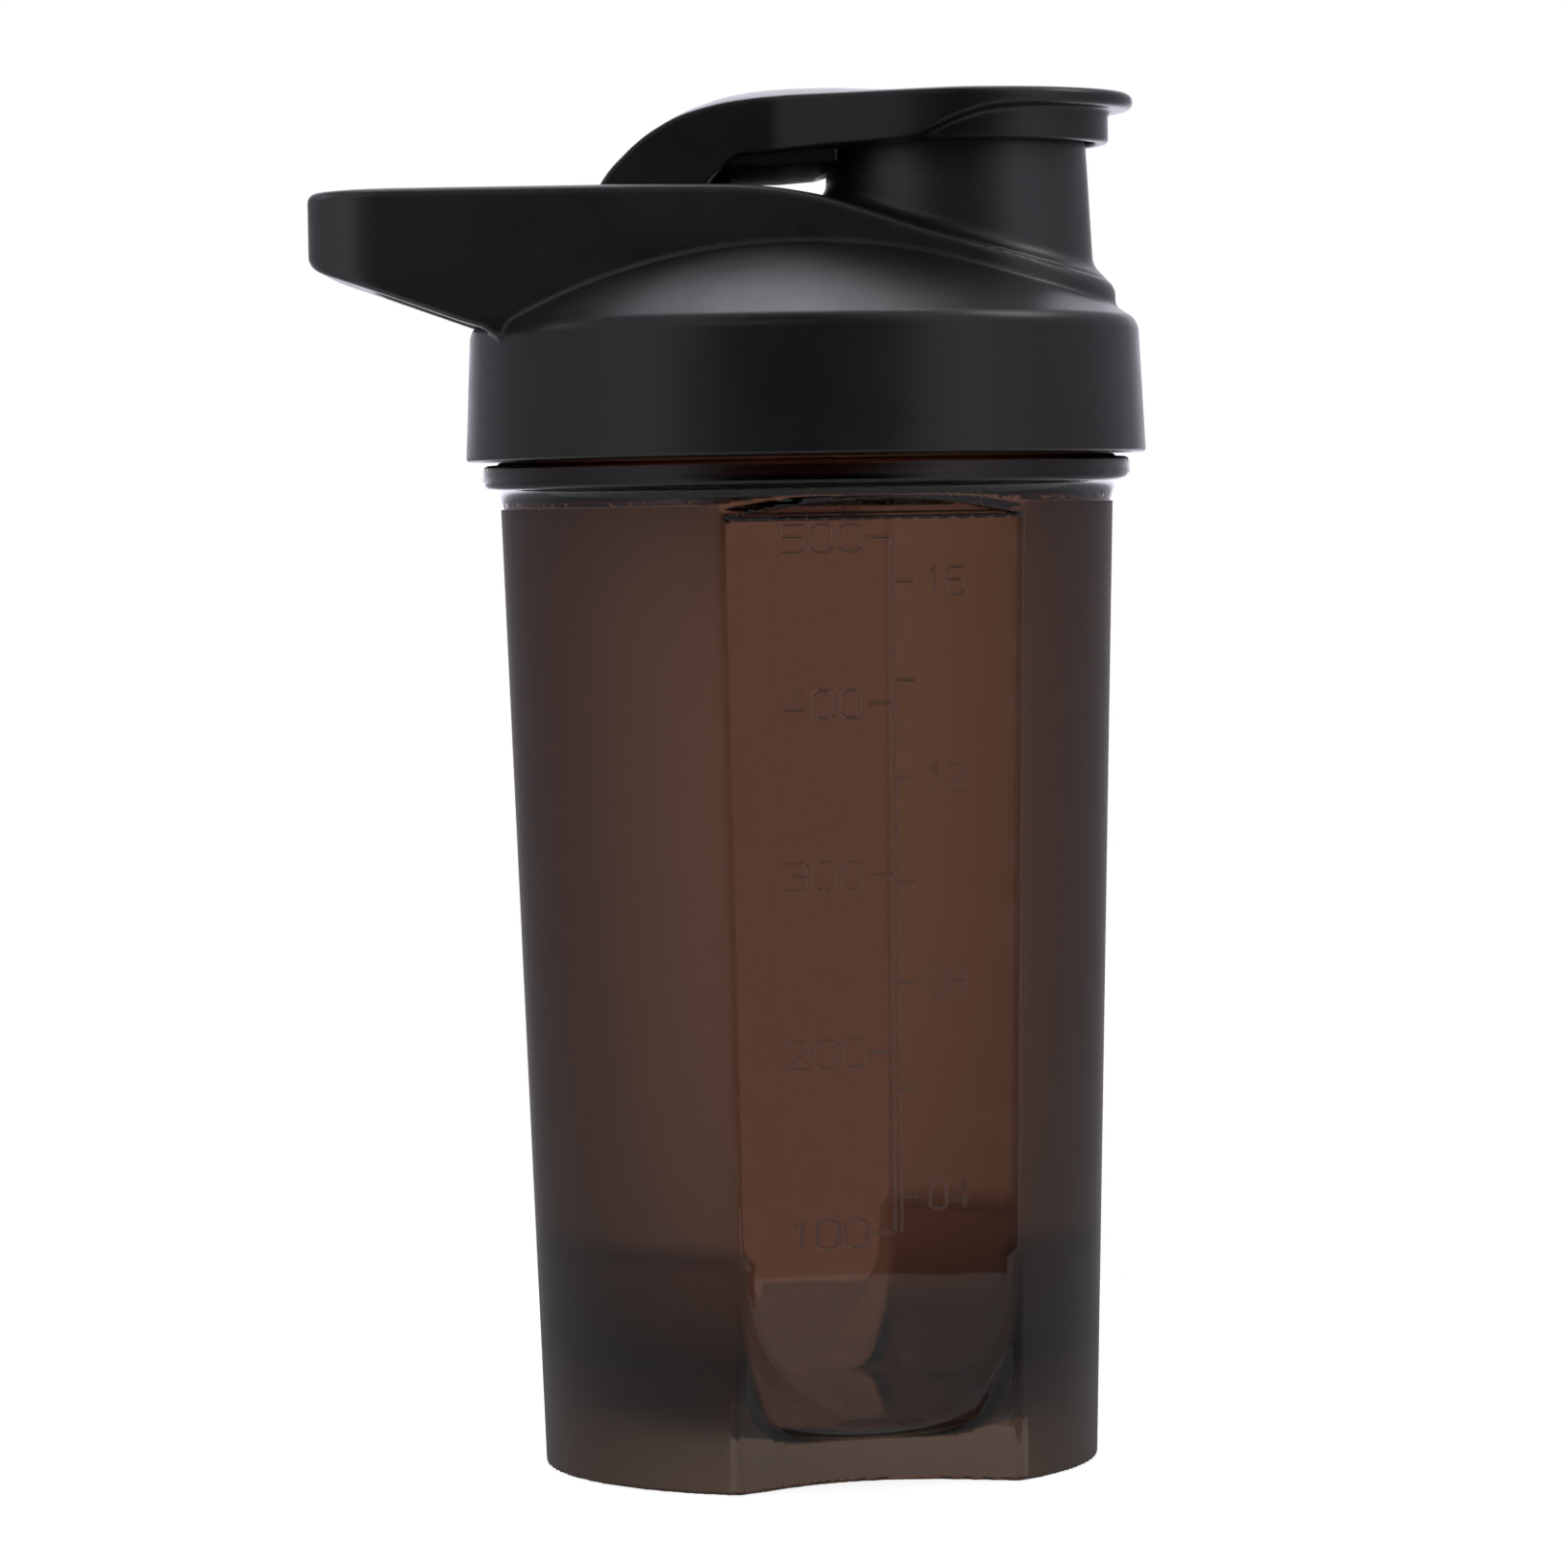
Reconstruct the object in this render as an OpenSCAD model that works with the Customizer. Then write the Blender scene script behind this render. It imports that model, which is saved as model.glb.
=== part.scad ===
// Shaker bottle: a cup with two flat measuring windows, a screw lid with a carry loop
// and a spout, and a flip cap that snaps over the spout.
// Millimetres, +Z up. The origin is on the cup's axis, on the plane that its skirt stands on.
// The lid is symmetric about the XZ plane: the loop is towards -X and the spout towards +X.

/* [Cup] */
// Outer radius of the skirt where the cup stands
base_r = 37.5; // [37:0.1:38]
// Outer radius of the tapered wall just under the neck
top_r = 41.4; // [41.2:0.1:41.6]
// Height of the tapered wall
wall_top = 129.2; // [128.5:0.1:130]
// Thickness of the moulded wall
wall = 1.6; // [1.4:0.1:1.8]
// Height of the chamber's underside above the table
floor_z = 6.3; // [5.5:0.1:7]
// Distance of a window from the axis, as a share of the wall's radius
window_share = 0.87; // [0.86:0.005:0.89]
// Turn of the front window about the axis, from -Y towards +X
window_turn = 14; // [0:1:30]
// Depth of the concave flute under each window, where the cup stands
flute_p = 25.6; // [25:0.1:28]

/* [Neck and thread] */
// Height of the rim that the gasket meets
rim_z = 149.6; // [149.4:0.1:149.7]
// Outer radius of the neck
neck_r = 41.5; // [41.4:0.1:41.6]
// Radius of the bead under the collar
bead_r = 43.8; // [43.2:0.1:44.2]
// Rise of the lid in one turn
pitch = 5; // [4.8:0.1:5.2]

/* [Lid] */
// Height of the collar's lower edge
collar_z = 135.9; // [135.6:0.1:136.6]
// Outer radius of the collar's lower edge
collar_r = 46; // [45.6:0.1:46.4]
// Outer radius of the collar at its shoulder
shoulder_r = 45.2; // [45:0.1:45.5]
// Height of the collar's shoulder
shoulder_z = 153; // [152.8:0.1:153.2]
// Height of the crown of the dome
dome_z = 167; // [166.5:0.1:167.2]
// Half the width of the saddle that carries the loop, the hinge and the spout
saddle_y = 21.6; // [21:0.1:22]
// Height of the saddle's top
saddle_z = 172.1; // [171.8:0.1:172.4]
// Distance of the loop's end from the axis
loop_x = 66; // [64:0.1:69]

/* [Spout and cap] */
// Distance of the spout's axis from the cup's axis
spout_x = 20.95; // [20.5:0.05:21.3]
// Outer radius of the spout at its mouth
spout_r = 17.25; // [17:0.05:17.4]
// Height of the spout's mouth
mouth_z = 181.4; // [181:0.1:181.6]
// Distance of the hinge pin from the cup's axis
hinge_x = 20; // [19.8:0.1:20.2]
// Height of the hinge pin
hinge_z = 169.4; // [169.2:0.1:169.5]
// Radius of the hinge pin
pin_r = 1.5; // [1.4:0.05:1.55]

/* [Hidden] */
$fn = 96;
smoke = [0.30, 0.20, 0.15, 0.75];
black = "#1b1b1e";
grey = "#55565a";
eps = 0.01;

// Cup: the side of the chamber is an arc that leans in towards a flat floor
chamber_arc_r = 50;
chamber_arc_x = -11.9;
chamber_arc_z = 30;
chamber_edge_r = 1.8;
chamber_lean = 25.6;
flute_arc_r = 24.9;
flute_arc_angle = 27.2;
flute_tilt = atan(window_share * (top_r - base_r) / wall_top);
skirt_gap_top = 26;
neck_bore_r = 39.8;
ledge_z = wall_top + wall;
bead_z = 133.4;
cove = 1.1;

// Graduations: millilitres on the left of a double line, fluid ounces on the right
ml_marks = [100, 200, 300, 400, 500];
oz_marks = [4, 6, 8, 10, 12, 14, 16];
ml_per_oz = 29.5735;
mark_proud = 0.3;
mark_wide = 0.45;
mark_sunk = 0.3;
scale_q = 2.9;
scale_gap = 0.9;

// Thread
thread_crest = 0.9;
thread_root = 2.3;
neck_thread_r = 43.3;
lid_thread_r = 42.15;
thread_step = 10;
neck_thread_z = 139.6;
neck_thread_turns = 1.35;
lid_thread_z = 138.1;
lid_thread_turns = 1.1;

// Lid
collar_bore_r = 44.2;
ceiling_z = 151.1;
shell = 1.8;
dome_r = 83;
dome_foot_r = 44.4;
cheek_y = 16.9;
loop_inner_x = 58.6;
deck_x = 9.8;
pocket_r = 10.2;
pin_gap = 0.06;
pin_end_y = 20.1;
spout_foot_r = 18.5;
spout_bore_r = 15.4;
nest_r = 21.25;
rib_r = 39.2;
rib_z = 147.2;
hollow_r = 38.5;
lid_low = 140;
lid_tall = 60;

// Cap
cap_top = 185.5;
cap_edge_z = 184.1;
cap_r = 23.9;
cap_arm_y = 16.3;
ring_r = 20.5;
ring_bore_r = 18.9;
ring_z = 177.5;
ring_edge = 0.6;
flange_z = 181.6;
seal_top = 182.9;
seal_gap = 0.05;
plug_deep = 1.4;
plug_r = 13.6;
knuckle_r = 7.1;
keel_y = 9;

function arc(cx, cy, r, from, to, steps) =
    [for (i = [0:steps]) let (a = from + (to - from) * i / steps)
        [cx + r * cos(a), cy + r * sin(a)]];

// The chamber's lower outline, from the axis outwards, moved inwards by t
function chamber_outline(t) = let (
        r1 = chamber_arc_r - t,
        r2 = chamber_edge_r + wall - t,
        reach = chamber_arc_r - chamber_edge_r - wall,
        z2 = floor_z + chamber_edge_r + wall,
        lean = asin((chamber_arc_z - z2) / reach),
        x2 = chamber_arc_x + reach * cos(lean))
    concat([[0, z2 - r2]],
        arc(x2, z2, r2, -90, -lean, 5),
        arc(chamber_arc_x, chamber_arc_z, r1, -lean * 0.8, 0, 5));

function cone_r(z) = base_r + (top_r - base_r) * z / wall_top;

// Area of the chamber at height z: a circle without the two slices behind the windows
function side_r(z) = z >= chamber_arc_z ? cone_r(z) - wall :
    min(cone_r(z) - wall,
        chamber_arc_x + sqrt(pow(chamber_arc_r - wall, 2) - pow(chamber_arc_z - z, 2)));
function slice(r, p) = p >= r ? 0 :
    r * r * acos(p / r) * PI / 180 - p * sqrt(r * r - p * p);
function area(z) = let (r = side_r(z))
    PI * r * r - 2 * slice(r, window_share * cone_r(z) - wall);

// Height that a volume in cubic millimetres fills the chamber to, found a slice at a time
fill_step = 0.2;
function fill_z(volume, z = floor_z + wall) =
    volume <= 0 ? z : fill_z(volume - area(z) * fill_step, z + fill_step);

// One turn after another of a ridge on a wall of radius r0 that reaches r1
module ridge(r0, r1, z0, turns) {
    n = floor(turns * 360 / thread_step);
    run_out = 4;
    function height(i) = 0.1 + 0.9 * min(1, min(i, n - i) / run_out);
    function ring(i) = let (
            a = i * thread_step,
            z = z0 + pitch * a / 360,
            k = height(i),
            r = r0 + (r1 - r0) * k,
            w0 = thread_root / 2,
            w1 = w0 + (thread_crest / 2 - w0) * k)
        [for (q = [[r0, -w0], [r, -w1], [r, w1], [r0, w0]])
            [q[0] * cos(a), q[0] * sin(a), z + q[1]]];
    points = [for (i = [0:n]) each ring(i)];
    sides = [for (i = [0:n - 1], k = [0:3]) let (j = (k + 1) % 4)
        r1 > r0 ? [4 * i + k, 4 * i + j, 4 * i + 4 + j, 4 * i + 4 + k]
                : [4 * i + k, 4 * i + 4 + k, 4 * i + 4 + j, 4 * i + j]];
    ends = r1 > r0 ? [[3, 2, 1, 0], [4 * n, 4 * n + 1, 4 * n + 2, 4 * n + 3]]
                   : [[0, 1, 2, 3], [4 * n + 3, 4 * n + 2, 4 * n + 1, 4 * n]];
    polyhedron(points, concat(sides, ends), convexity = 10);
}

// Everything between the two leaning window planes, moved inwards by t
module between_windows(t, top) {
    p0 = window_share * base_r - t;
    p1 = window_share * cone_r(top) - t;
    far = 100;
    rotate([0, 0, window_turn]) rotate([90, 0, 90]) linear_extrude(far, center = true)
        polygon([[-p0, 0], [p0, 0], [p1, top], [-p1, top]]);
}

module tapered_wall(t, top) {
    intersection() {
        cylinder(h = top, r1 = base_r - t, r2 = cone_r(top) - t);
        between_windows(t, top);
    }
}

// The two concave flutes in the skirt, grown inwards by t
module flutes(t) {
    height = 45;
    reach = 30;
    r = flute_arc_r + t;
    cy = flute_p + flute_arc_r;
    edge = arc(0, cy, r, 270 - flute_arc_angle, 270 + flute_arc_angle, 8);
    rise = (reach - r * sin(flute_arc_angle)) * tan(flute_arc_angle);
    side_y = cy - r * cos(flute_arc_angle) + rise;
    for (side = [0, 180]) rotate([0, 0, window_turn + side]) rotate([flute_tilt, 0, 0])
        translate([0, 0, -height / 3]) linear_extrude(height) mirror([0, 1])
            polygon(concat([[-reach, 2 * reach], [-reach, side_y]], edge,
                [[reach, side_y], [reach, 2 * reach]]));
}

// A solid with the chamber's lower outline, up to the given height
module chamber_bottom(t, top) {
    outline = chamber_outline(t);
    side = outline[len(outline) - 1][0];
    rotate_extrude() polygon(concat(outline, [[side + 10, chamber_arc_z + 10],
        [side + 10, top], [0, top]]));
}

module graduations() {
    face_p = window_share * base_r;
    lean = atan(window_share * (top_r - base_r) / wall_top);
    deep = mark_proud + mark_sunk;
    module stroke(q, z, w, h) {
        translate([q, -mark_proud, z]) cube([w, deep, h]);
    }
    rotate([0, 0, window_turn]) translate([0, -face_p, 0]) rotate([lean, 0, 0]) {
        low = fill_z(ml_marks[0] * 1000);
        high = fill_z(ml_marks[len(ml_marks) - 1] * 1000);
        for (q = [scale_q - scale_gap, scale_q])
            stroke(q - mark_wide / 2, low, mark_wide, high - low);
        for (v = ml_marks)
            stroke(scale_q - scale_gap - 3, fill_z(v * 1000) - mark_wide / 2, 3, mark_wide);
        for (v = oz_marks)
            stroke(scale_q, fill_z(v * ml_per_oz * 1000) - mark_wide / 2, 2.2, mark_wide);
    }
}

module cup() {
    color(smoke) difference() {
        union() {
            difference() {
                tapered_wall(0, wall_top);
                difference() {
                    flutes(0);
                    chamber_bottom(0, wall_top);
                }
            }
            rotate_extrude() polygon([[0, wall_top], [top_r, wall_top],
                [top_r + cove / 3, bead_z - 2.5 * cove], [top_r + cove, bead_z - 1.5 * cove],
                [bead_r - 0.2, bead_z - 0.8 * cove], [bead_r, bead_z],
                [bead_r, bead_z + cove], [bead_r - 0.5, bead_z + 1.7 * cove],
                [neck_r, bead_z + 1.75 * cove],
                [neck_r, rim_z], [0, rim_z]]);
            ridge(neck_r - 0.5, neck_thread_r, neck_thread_z, neck_thread_turns);
            graduations();
        }
        intersection() {
            tapered_wall(wall, ledge_z);
            chamber_bottom(wall, ledge_z + 1);
        }
        translate([0, 0, ledge_z]) cylinder(h = rim_z, r = neck_bore_r);
        difference() {
            translate([0, 0, -eps]) tapered_wall(wall, skirt_gap_top);
            flutes(wall);
            chamber_bottom(0, wall_top);
        }
    }
}

// Height of the dome's sphere at distance r from the axis, moved inwards by t
function dome_at(r, t = 0) = dome_z - dome_r + sqrt(pow(dome_r - t, 2) - r * r);

module collar_and_dome() {
    foot_z = dome_at(dome_foot_r);
    outside = [for (i = [0:8]) let (r = dome_foot_r * (8 - i) / 8) [r, dome_at(r)]];
    rib_in = rib_r - 1.4;
    inside = [for (i = [0:8]) let (r = rib_in * i / 8) [r, dome_at(r, shell)]];
    rotate_extrude() polygon(concat(
        [[collar_bore_r, collar_z], [collar_r - 0.4, collar_z], [collar_r, collar_z + 0.5],
         [shoulder_r, shoulder_z], [shoulder_r - 0.35, foot_z - 0.45],
         [dome_foot_r + 0.1, foot_z]],
        outside, inside,
        [[rib_in, rib_z], [rib_r, rib_z], [rib_r, ceiling_z], [collar_bore_r, ceiling_z]]));
}

// Side outline of the saddle, from the loop's end to the nose under the spout
function saddle_side(drop) = [
    [-loop_x, 162.5], [-loop_x + 1.4, 161.4], [-62.8, 160.6], [-44.4, 154], [-40, 151.6],
    [-36, 153.2], [36, 153.2], [42.2 - drop, 154.6], [42.2 - drop, 157.2 - drop],
    [41.2 - drop, 158.9 - drop], [34, 160.9 - drop], [24, 163.6 - drop],
    [16, 165.9 - drop], [8.3, 168.6 - drop], [2.6, 170.4 - drop], [-2.3, 171.3 - drop],
    [-6, 171.8 - drop], [-deck_x, saddle_z - drop], [-loop_x + 1.5, saddle_z - drop],
    [-loop_x, saddle_z - 1.4 - drop]];

module saddle_plan(t) {
    corner_r = 10;
    nose_r = nest_r - t;
    hull() {
        for (y = [-1, 1]) translate([-loop_x + corner_r, y * (saddle_y - corner_r)])
            circle(r = corner_r - t, $fn = 48);
        translate([spout_x, 0]) circle(r = nose_r);
        for (x = [-1, 1]) translate([x * 12, 0]) square([1, 2 * saddle_y - 2 * t], center = true);
    }
}

module saddle(drop, t) {
    intersection() {
        translate([0, 0, lid_low]) linear_extrude(lid_tall) saddle_plan(t);
        rotate([90, 0, 0]) linear_extrude(2 * saddle_y + 2, center = true)
            polygon(saddle_side(drop));
    }
}

// The slot between the cheeks: it passes through outside the collar and runs over the dome
module slot() {
    corner_r = 6;
    translate([0, 0, lid_low]) linear_extrude(lid_tall) hull() {
        for (y = [-1, 1]) translate([-loop_inner_x + corner_r, y * (cheek_y - corner_r)])
            circle(r = corner_r, $fn = 48);
        translate([-deck_x - 1, -cheek_y]) square([1, 2 * cheek_y]);
    }
}

// The space under a surface that is t below the dome, out to the collar's wall
module under_dome(t) {
    steps = 6;
    side_r = shoulder_r - 0.4;
    rotate_extrude() polygon(concat([[0, lid_low], [side_r, lid_low], [side_r, shoulder_z]],
        [for (i = [0:steps]) let (r = dome_foot_r * (steps - i) / steps) [r, dome_at(r) - t]]));
}

// A bore along the hinge pin's line
module across_hinge(r, length) {
    translate([-hinge_x, 0, hinge_z]) rotate([90, 0, 0])
        cylinder(h = length, r = r, center = true);
}

module lid() {
    dome_skin = 0.6;
    spout_foot_z = 157;
    pin_end_gap = 0.1;
    color(black) difference() {
        union() {
            collar_and_dome();
            difference() {
                saddle(0, 0);
                slot();
                under_dome(dome_skin);
            }
            // the floor of the pocket that the cap's knuckle turns in
            intersection() {
                across_hinge(pocket_r + shell, 2 * cheek_y + 2 * shell);
                under_dome(0);
            }
            translate([spout_x, 0, spout_foot_z])
                cylinder(h = mouth_z - spout_foot_z, r1 = spout_foot_r, r2 = spout_r);
            ridge(collar_bore_r + 0.5, lid_thread_r, lid_thread_z, lid_thread_turns);
        }
        across_hinge(pocket_r, 2 * cheek_y);
        // the hollow under the spout's end of the saddle
        difference() {
            intersection() {
                saddle(shell, shell);
                translate([-deck_x + shell + 1, -lid_tall / 2, lid_low]) cube(lid_tall);
            }
            across_hinge(pocket_r + shell, lid_tall);
            rotate_extrude() translate([hollow_r, lid_low]) square([hollow_r, 18]);
        }
        translate([spout_x, 0, ceiling_z]) cylinder(h = lid_tall, r = spout_bore_r);
        across_hinge(pin_r + pin_gap, 2 * (pin_end_y + pin_end_gap));
    }
}

module lid_gasket() {
    color(grey) translate([0, 0, rim_z]) difference() {
        cylinder(h = ceiling_z - rim_z - 0.02, r = 43.4);
        translate([0, 0, -1]) cylinder(h = 4, r = rib_r + 0.15);
    }
}

// Strainer that clips inside the lid's rib and breaks up the powder
module mixer_grid() {
    outer_r = rib_r - 1.4;
    low = 144.2;
    deep = 2.4;
    bar = 1.5;
    spokes = 8;
    color(black) {
        translate([0, 0, low]) difference() {
            cylinder(h = 5.2, r = outer_r);
            translate([0, 0, -1]) cylinder(h = 8, r = outer_r - bar);
        }
        for (r = [9, 18, 27]) translate([0, 0, low]) difference() {
            cylinder(h = deep, r = r + bar / 2);
            translate([0, 0, -1]) cylinder(h = deep + 2, r = r - bar / 2);
        }
        for (i = [0:spokes / 2 - 1]) rotate([0, 0, i * 360 / spokes])
            translate([-outer_r + 0.5, -bar / 2, low]) cube([2 * outer_r - 1, bar, deep]);
    }
}

// Outline of the cap from above: a disc over the spout and an arm back to the hinge
module cap_plan() {
    flare = 0.6;
    hull() {
        translate([spout_x, 0]) circle(r = cap_r);
        translate([0, -cap_arm_y - flare]) square([1, 2 * (cap_arm_y + flare)]);
    }
    translate([-hinge_x - knuckle_r - 2, -cap_arm_y])
        square([hinge_x + knuckle_r + 3, 2 * cap_arm_y]);
}

// An outline in the XZ plane, made into a slab that reaches half_y to both sides
module slab(half_y) {
    rotate([90, 0, 0]) linear_extrude(2 * half_y, center = true) children();
}

// The cap's crowned top, as everything under it
module under_crown() {
    shoulder = [[8, cap_top - 0.3], [cap_arm_y, cap_edge_z + 0.2], [cap_r, cap_edge_z]];
    rotate([90, 0, 90]) linear_extrude(2 * lid_tall, center = true) polygon(concat(
        [[0, cap_top]], shoulder, [[cap_r, lid_low], [-cap_r, lid_low]],
        [for (i = [2:-1:0]) [-shoulder[i][0], shoulder[i][1]]]));
}

module flip_cap() {
    top_line = [[-26.4, 172.6], [-26.1, 173.5], [-24.7, 175.5], [-23, 177.5], [-20.8, 179.5],
        [-17, 182.1], [-13.2, 183.6], [-9.3, 184.6], [-5.5, 185.2], [-1.6, cap_top],
        [2.2, cap_top], [9.8, 185.1], [15, 184.9], [42.6, 184.9], [44.2, 184], [44.85, 183],
        [44.4, 182]];
    under_line = [[30, flange_z], [24, 181], [20, 179.8], [15, ring_z], [3.6, 176.9],
        [-8.4, 176], [-10.5, 174.4], [-12.8, 172], [-14, 168], [-26, 168]];
    keel_line = [[-12.4, 172.7], [-3.2, 172.9], [5, 173.4], [5, ring_z], [-12.4, ring_z]];
    color(black) difference() {
        union() {
            intersection() {
                translate([0, 0, lid_low]) linear_extrude(lid_tall) cap_plan();
                slab(cap_r) polygon(concat(top_line, under_line));
                under_crown();
            }
            slab(keel_y) polygon(keel_line);
            translate([spout_x, 0, ring_z]) {
                cylinder(h = ring_edge, r1 = ring_r - ring_edge, r2 = ring_r);
                translate([0, 0, ring_edge])
                    cylinder(h = seal_top - ring_z, r = ring_r);
            }
            across_hinge(knuckle_r, 2 * cap_arm_y);
        }
        translate([spout_x, 0, lid_low]) cylinder(h = seal_top - lid_low, r = ring_bore_r);
        across_hinge(pin_r, lid_tall);
    }
}

module hinge_pin() {
    color("silver") across_hinge(pin_r, 2 * pin_end_y);
}

module spout_seal() {
    color(grey) translate([spout_x, 0, 0]) {
        translate([0, 0, mouth_z + seal_gap])
            cylinder(h = seal_top - mouth_z - seal_gap, r = ring_bore_r);
        translate([0, 0, mouth_z - plug_deep])
            cylinder(h = plug_deep + 2 * seal_gap, r1 = plug_r, r2 = plug_r + 0.5);
    }
}

cup();
lid();
lid_gasket();
mixer_grid();
flip_cap();
hinge_pin();
spout_seal();
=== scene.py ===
"""Looks of the shaker bottle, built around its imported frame.

Shapes are distance fields in millimetres, in the frame's own axes: the cup's axis is +Z, the
spout is towards +X and the carry loop towards -X. Each field is meshed and scaled to metres.
"""
import math
import bmesh
import bpy
import numpy as np
from mathutils import Matrix, Vector


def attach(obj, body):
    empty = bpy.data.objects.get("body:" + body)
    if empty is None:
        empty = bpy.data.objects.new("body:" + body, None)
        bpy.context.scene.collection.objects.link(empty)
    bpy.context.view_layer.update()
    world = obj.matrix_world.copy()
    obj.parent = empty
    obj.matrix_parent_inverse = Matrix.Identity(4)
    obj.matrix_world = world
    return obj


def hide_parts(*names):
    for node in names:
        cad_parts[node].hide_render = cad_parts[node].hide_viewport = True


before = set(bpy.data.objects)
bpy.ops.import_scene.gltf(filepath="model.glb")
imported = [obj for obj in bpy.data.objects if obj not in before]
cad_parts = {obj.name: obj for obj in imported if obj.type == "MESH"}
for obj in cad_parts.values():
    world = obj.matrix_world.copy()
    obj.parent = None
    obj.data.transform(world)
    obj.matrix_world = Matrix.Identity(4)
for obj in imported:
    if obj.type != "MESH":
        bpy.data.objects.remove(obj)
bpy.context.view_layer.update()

MM = 0.001
TAU = 2 * math.pi
COARSER = 1.0


# ---------------------------------------------------------------- distance fields
def union(a, b, r=0.0):
    """Both solids, with a fillet of radius r where they meet."""
    return np.maximum(np.minimum(a, b), r) - np.hypot(np.maximum(r - a, 0), np.maximum(r - b, 0))


def common(a, b, r=0.0):
    """What both solids share, with its edge rounded to radius r."""
    return -union(-a, -b, r)


def cut(a, b, r=0.0):
    return common(a, -b, r)


def between(v, low, high):
    return np.maximum(low - v, v - high)


def blend_01(v, low, high):
    t = np.clip((v - low) / (high - low), 0, 1)
    return t * t * (3 - 2 * t)


class Curve:
    """A height over x: straight runs between points, eased over a window, as a distance field."""

    def __init__(self, points, ease):
        step = 0.05
        xs, zs = zip(*points)
        self.x = np.arange(xs[0] - 30, xs[-1] + 30, step)
        z = np.interp(self.x, xs, zs)
        n = max(3, int(ease / step) | 1)
        window = np.hanning(n + 2)[1:-1]
        z = np.convolve(np.pad(z, n // 2, mode="edge"), window / window.sum(), "valid")
        self.z = z
        self.slope = np.gradient(z, step)

    def above(self, x, z):
        """Distance above the curve, negative under it."""
        return (z - np.interp(x, self.x, self.z)) / np.sqrt(
            1 + np.interp(x, self.x, self.slope) ** 2)


def ridge(x, y, z, z0, turns, root_r, crest_r):
    """A helical thread ridge that grows out of the wall root_r to crest_r."""
    pitch, run_out = 5.0, math.radians(40)
    angle = np.arctan2(y, x)
    turned = angle + TAU * np.round((z - z0) / pitch - angle / TAU)
    held = np.clip(turned, 0, turns * TAU)
    r = np.hypot(x, y)
    tall = abs(crest_r - root_r)
    up = (r - root_r) * np.sign(crest_r - root_r)
    reach = tall * (0.12 + 0.88 * blend_01(np.minimum(held, turns * TAU - held), 0, run_out))
    flank = np.abs(z - z0 - pitch * held / TAU) - 1.15 + 0.7 * np.clip(up / tall, -0.5, 1)
    bar = common(np.maximum(flank * 0.95, np.abs(turned - held) * crest_r), up - reach, 0.25)
    return np.maximum(bar, -0.5 - up)


# ---------------------------------------------------------------- cup
BASE_R, SHOULDER_R, SHOULDER_Z = 37.5, 41.4, 129.2
FLARE = (SHOULDER_R - BASE_R) / SHOULDER_Z
WINDOW_TURN = math.radians(14)
WINDOW_SHARE = 0.87
WALL, PANE = 1.4, 1.6
FLOOR_Z = 6.3
FLUTE_R, FLUTE_CENTRE, FLUTE_HALF_ANGLE = 24.9, 50.5, math.radians(27.2)
NECK_R, BORE_R, RIM_Z = 41.5, 39.8, 149.6
BEAD_R, BEAD_Z = 41.0, 133.75


def cone_r(z):
    return BASE_R + FLARE * z


def window_axes(x, y):
    """Across the window, and outwards from it."""
    c, s = math.cos(WINDOW_TURN), math.sin(WINDOW_TURN)
    return x * c + y * s, x * s - y * c


def wall_field(x, y, z, inwards=0.0, pane=0.0):
    """The tapered wall's solid and the two flat windows that cut it, both moved inwards."""
    q, p = window_axes(x, y)
    cone = (np.hypot(x, y) - cone_r(z)) * 0.9995 + inwards
    plane = np.abs(p) - WINDOW_SHARE * cone_r(z)
    brow = (plane - 2.3 * (z - 127.7)) / math.hypot(1, 2.3)
    return cone, np.minimum(plane, brow) + pane


def chamber_field(x, y, z, inwards=0.0):
    """The chamber's lower outline: an arc that leans in to a flat floor."""
    r = np.hypot(x, y)
    side = np.hypot(r + 11.9, np.minimum(z - 30, 0)) - 50 - 0.7 * np.maximum(z - 30, 0)
    return common(side + inwards, FLOOR_Z - z + inwards, 3.4 - inwards)


def flute_field(x, y, z, grown=0.0):
    """The two concave flutes under the windows, negative inside them."""
    q, p = window_axes(x, y)
    tilt = math.atan(WINDOW_SHARE * FLARE)
    u, v = np.abs(q), np.abs(p) * math.cos(tilt) - z * math.sin(tilt)
    s, c = math.sin(FLUTE_HALF_ANGLE), math.cos(FLUTE_HALF_ANGLE)
    line = (u - FLUTE_R * s) * s - (v - FLUTE_CENTRE + FLUTE_R * c) * c
    arc = np.hypot(u, v - FLUTE_CENTRE) - FLUTE_R
    in_arc = (u * c < (FLUTE_CENTRE - v) * s) & (v < FLUTE_CENTRE)
    return np.where(in_arc, arc, line) - grown


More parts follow.
